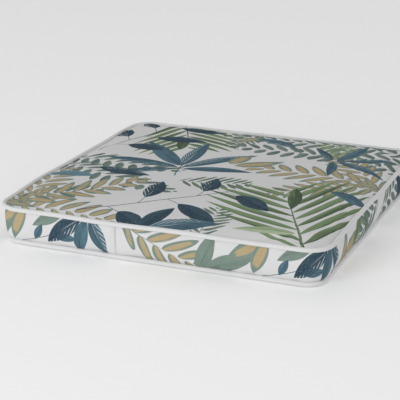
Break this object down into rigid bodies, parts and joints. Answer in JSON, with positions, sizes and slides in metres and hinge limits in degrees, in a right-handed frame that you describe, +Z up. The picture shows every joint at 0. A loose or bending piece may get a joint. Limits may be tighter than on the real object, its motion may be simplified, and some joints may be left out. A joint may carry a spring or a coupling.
{
  "type": "chair seat pad",
  "caption": "Square boxed chair seat pad in leaf-printed canvas, with white piping along both edges, a foam core and a zip across the back.",
  "frame": {"origin": "middle of the underside, on the surface that the pad rests on", "axes": "+Z up, front edge towards -Y, zip across the back at +Y, +X to the right seen from the front"},
  "size_m": [0.45, 0.45, 0.058],
  "materials": {
    "print_top": "matte",
    "print_bottom": "matte",
    "print_band": "matte",
    "print_rear": "matte",
    "piping": "matte",
    "cord": "matte",
    "foam": "matte",
    "wadding": "matte",
    "zip_tape": "matte",
    "zip_teeth": "satin",
    "zip_metal": "satin",
    "thread": "matte"
  },
  "bodies": {
    "cover": {"top_panel": "print_top", "bottom_panel": "print_bottom", "left_boxing": "print_band", "right_boxing": "print_band", "rear_boxing_upper": "print_rear", "rear_boxing_lower": "print_rear", "top_piping_cover": "piping", "bottom_piping_cover": "piping", "top_piping_cord": "cord", "bottom_piping_cord": "cord", "foam_core": "foam", "wadding_top": "wadding", "wadding_bottom": "wadding", "zip_tape_upper": "zip_tape", "zip_tape_lower": "zip_tape", "zip_teeth_upper": "zip_teeth", "zip_teeth_lower": "zip_teeth", "zip_top_stops": "zip_metal", "zip_bottom_stop": "zip_metal", "zip_stitching": "thread"},
    "zip_slider": {"zip_slider": "zip_metal"},
    "zip_pull": {"zip_pull": "zip_metal"}
  },
  "joints": [
    {"name": "zip_slide", "type": "slide", "parent": "cover", "child": "zip_slider", "axis": [-1, 0, 0], "range_m": [0, 0.346], "deforming": ["zip_teeth_upper", "zip_teeth_lower"]},
    {"name": "pull_hinge", "type": "hinge", "parent": "zip_slider", "child": "zip_pull", "pos_m": [0.1765, 0.2229, 0.028], "axis": [0, 0, -1], "range_deg": [0, 170]}
  ]
}
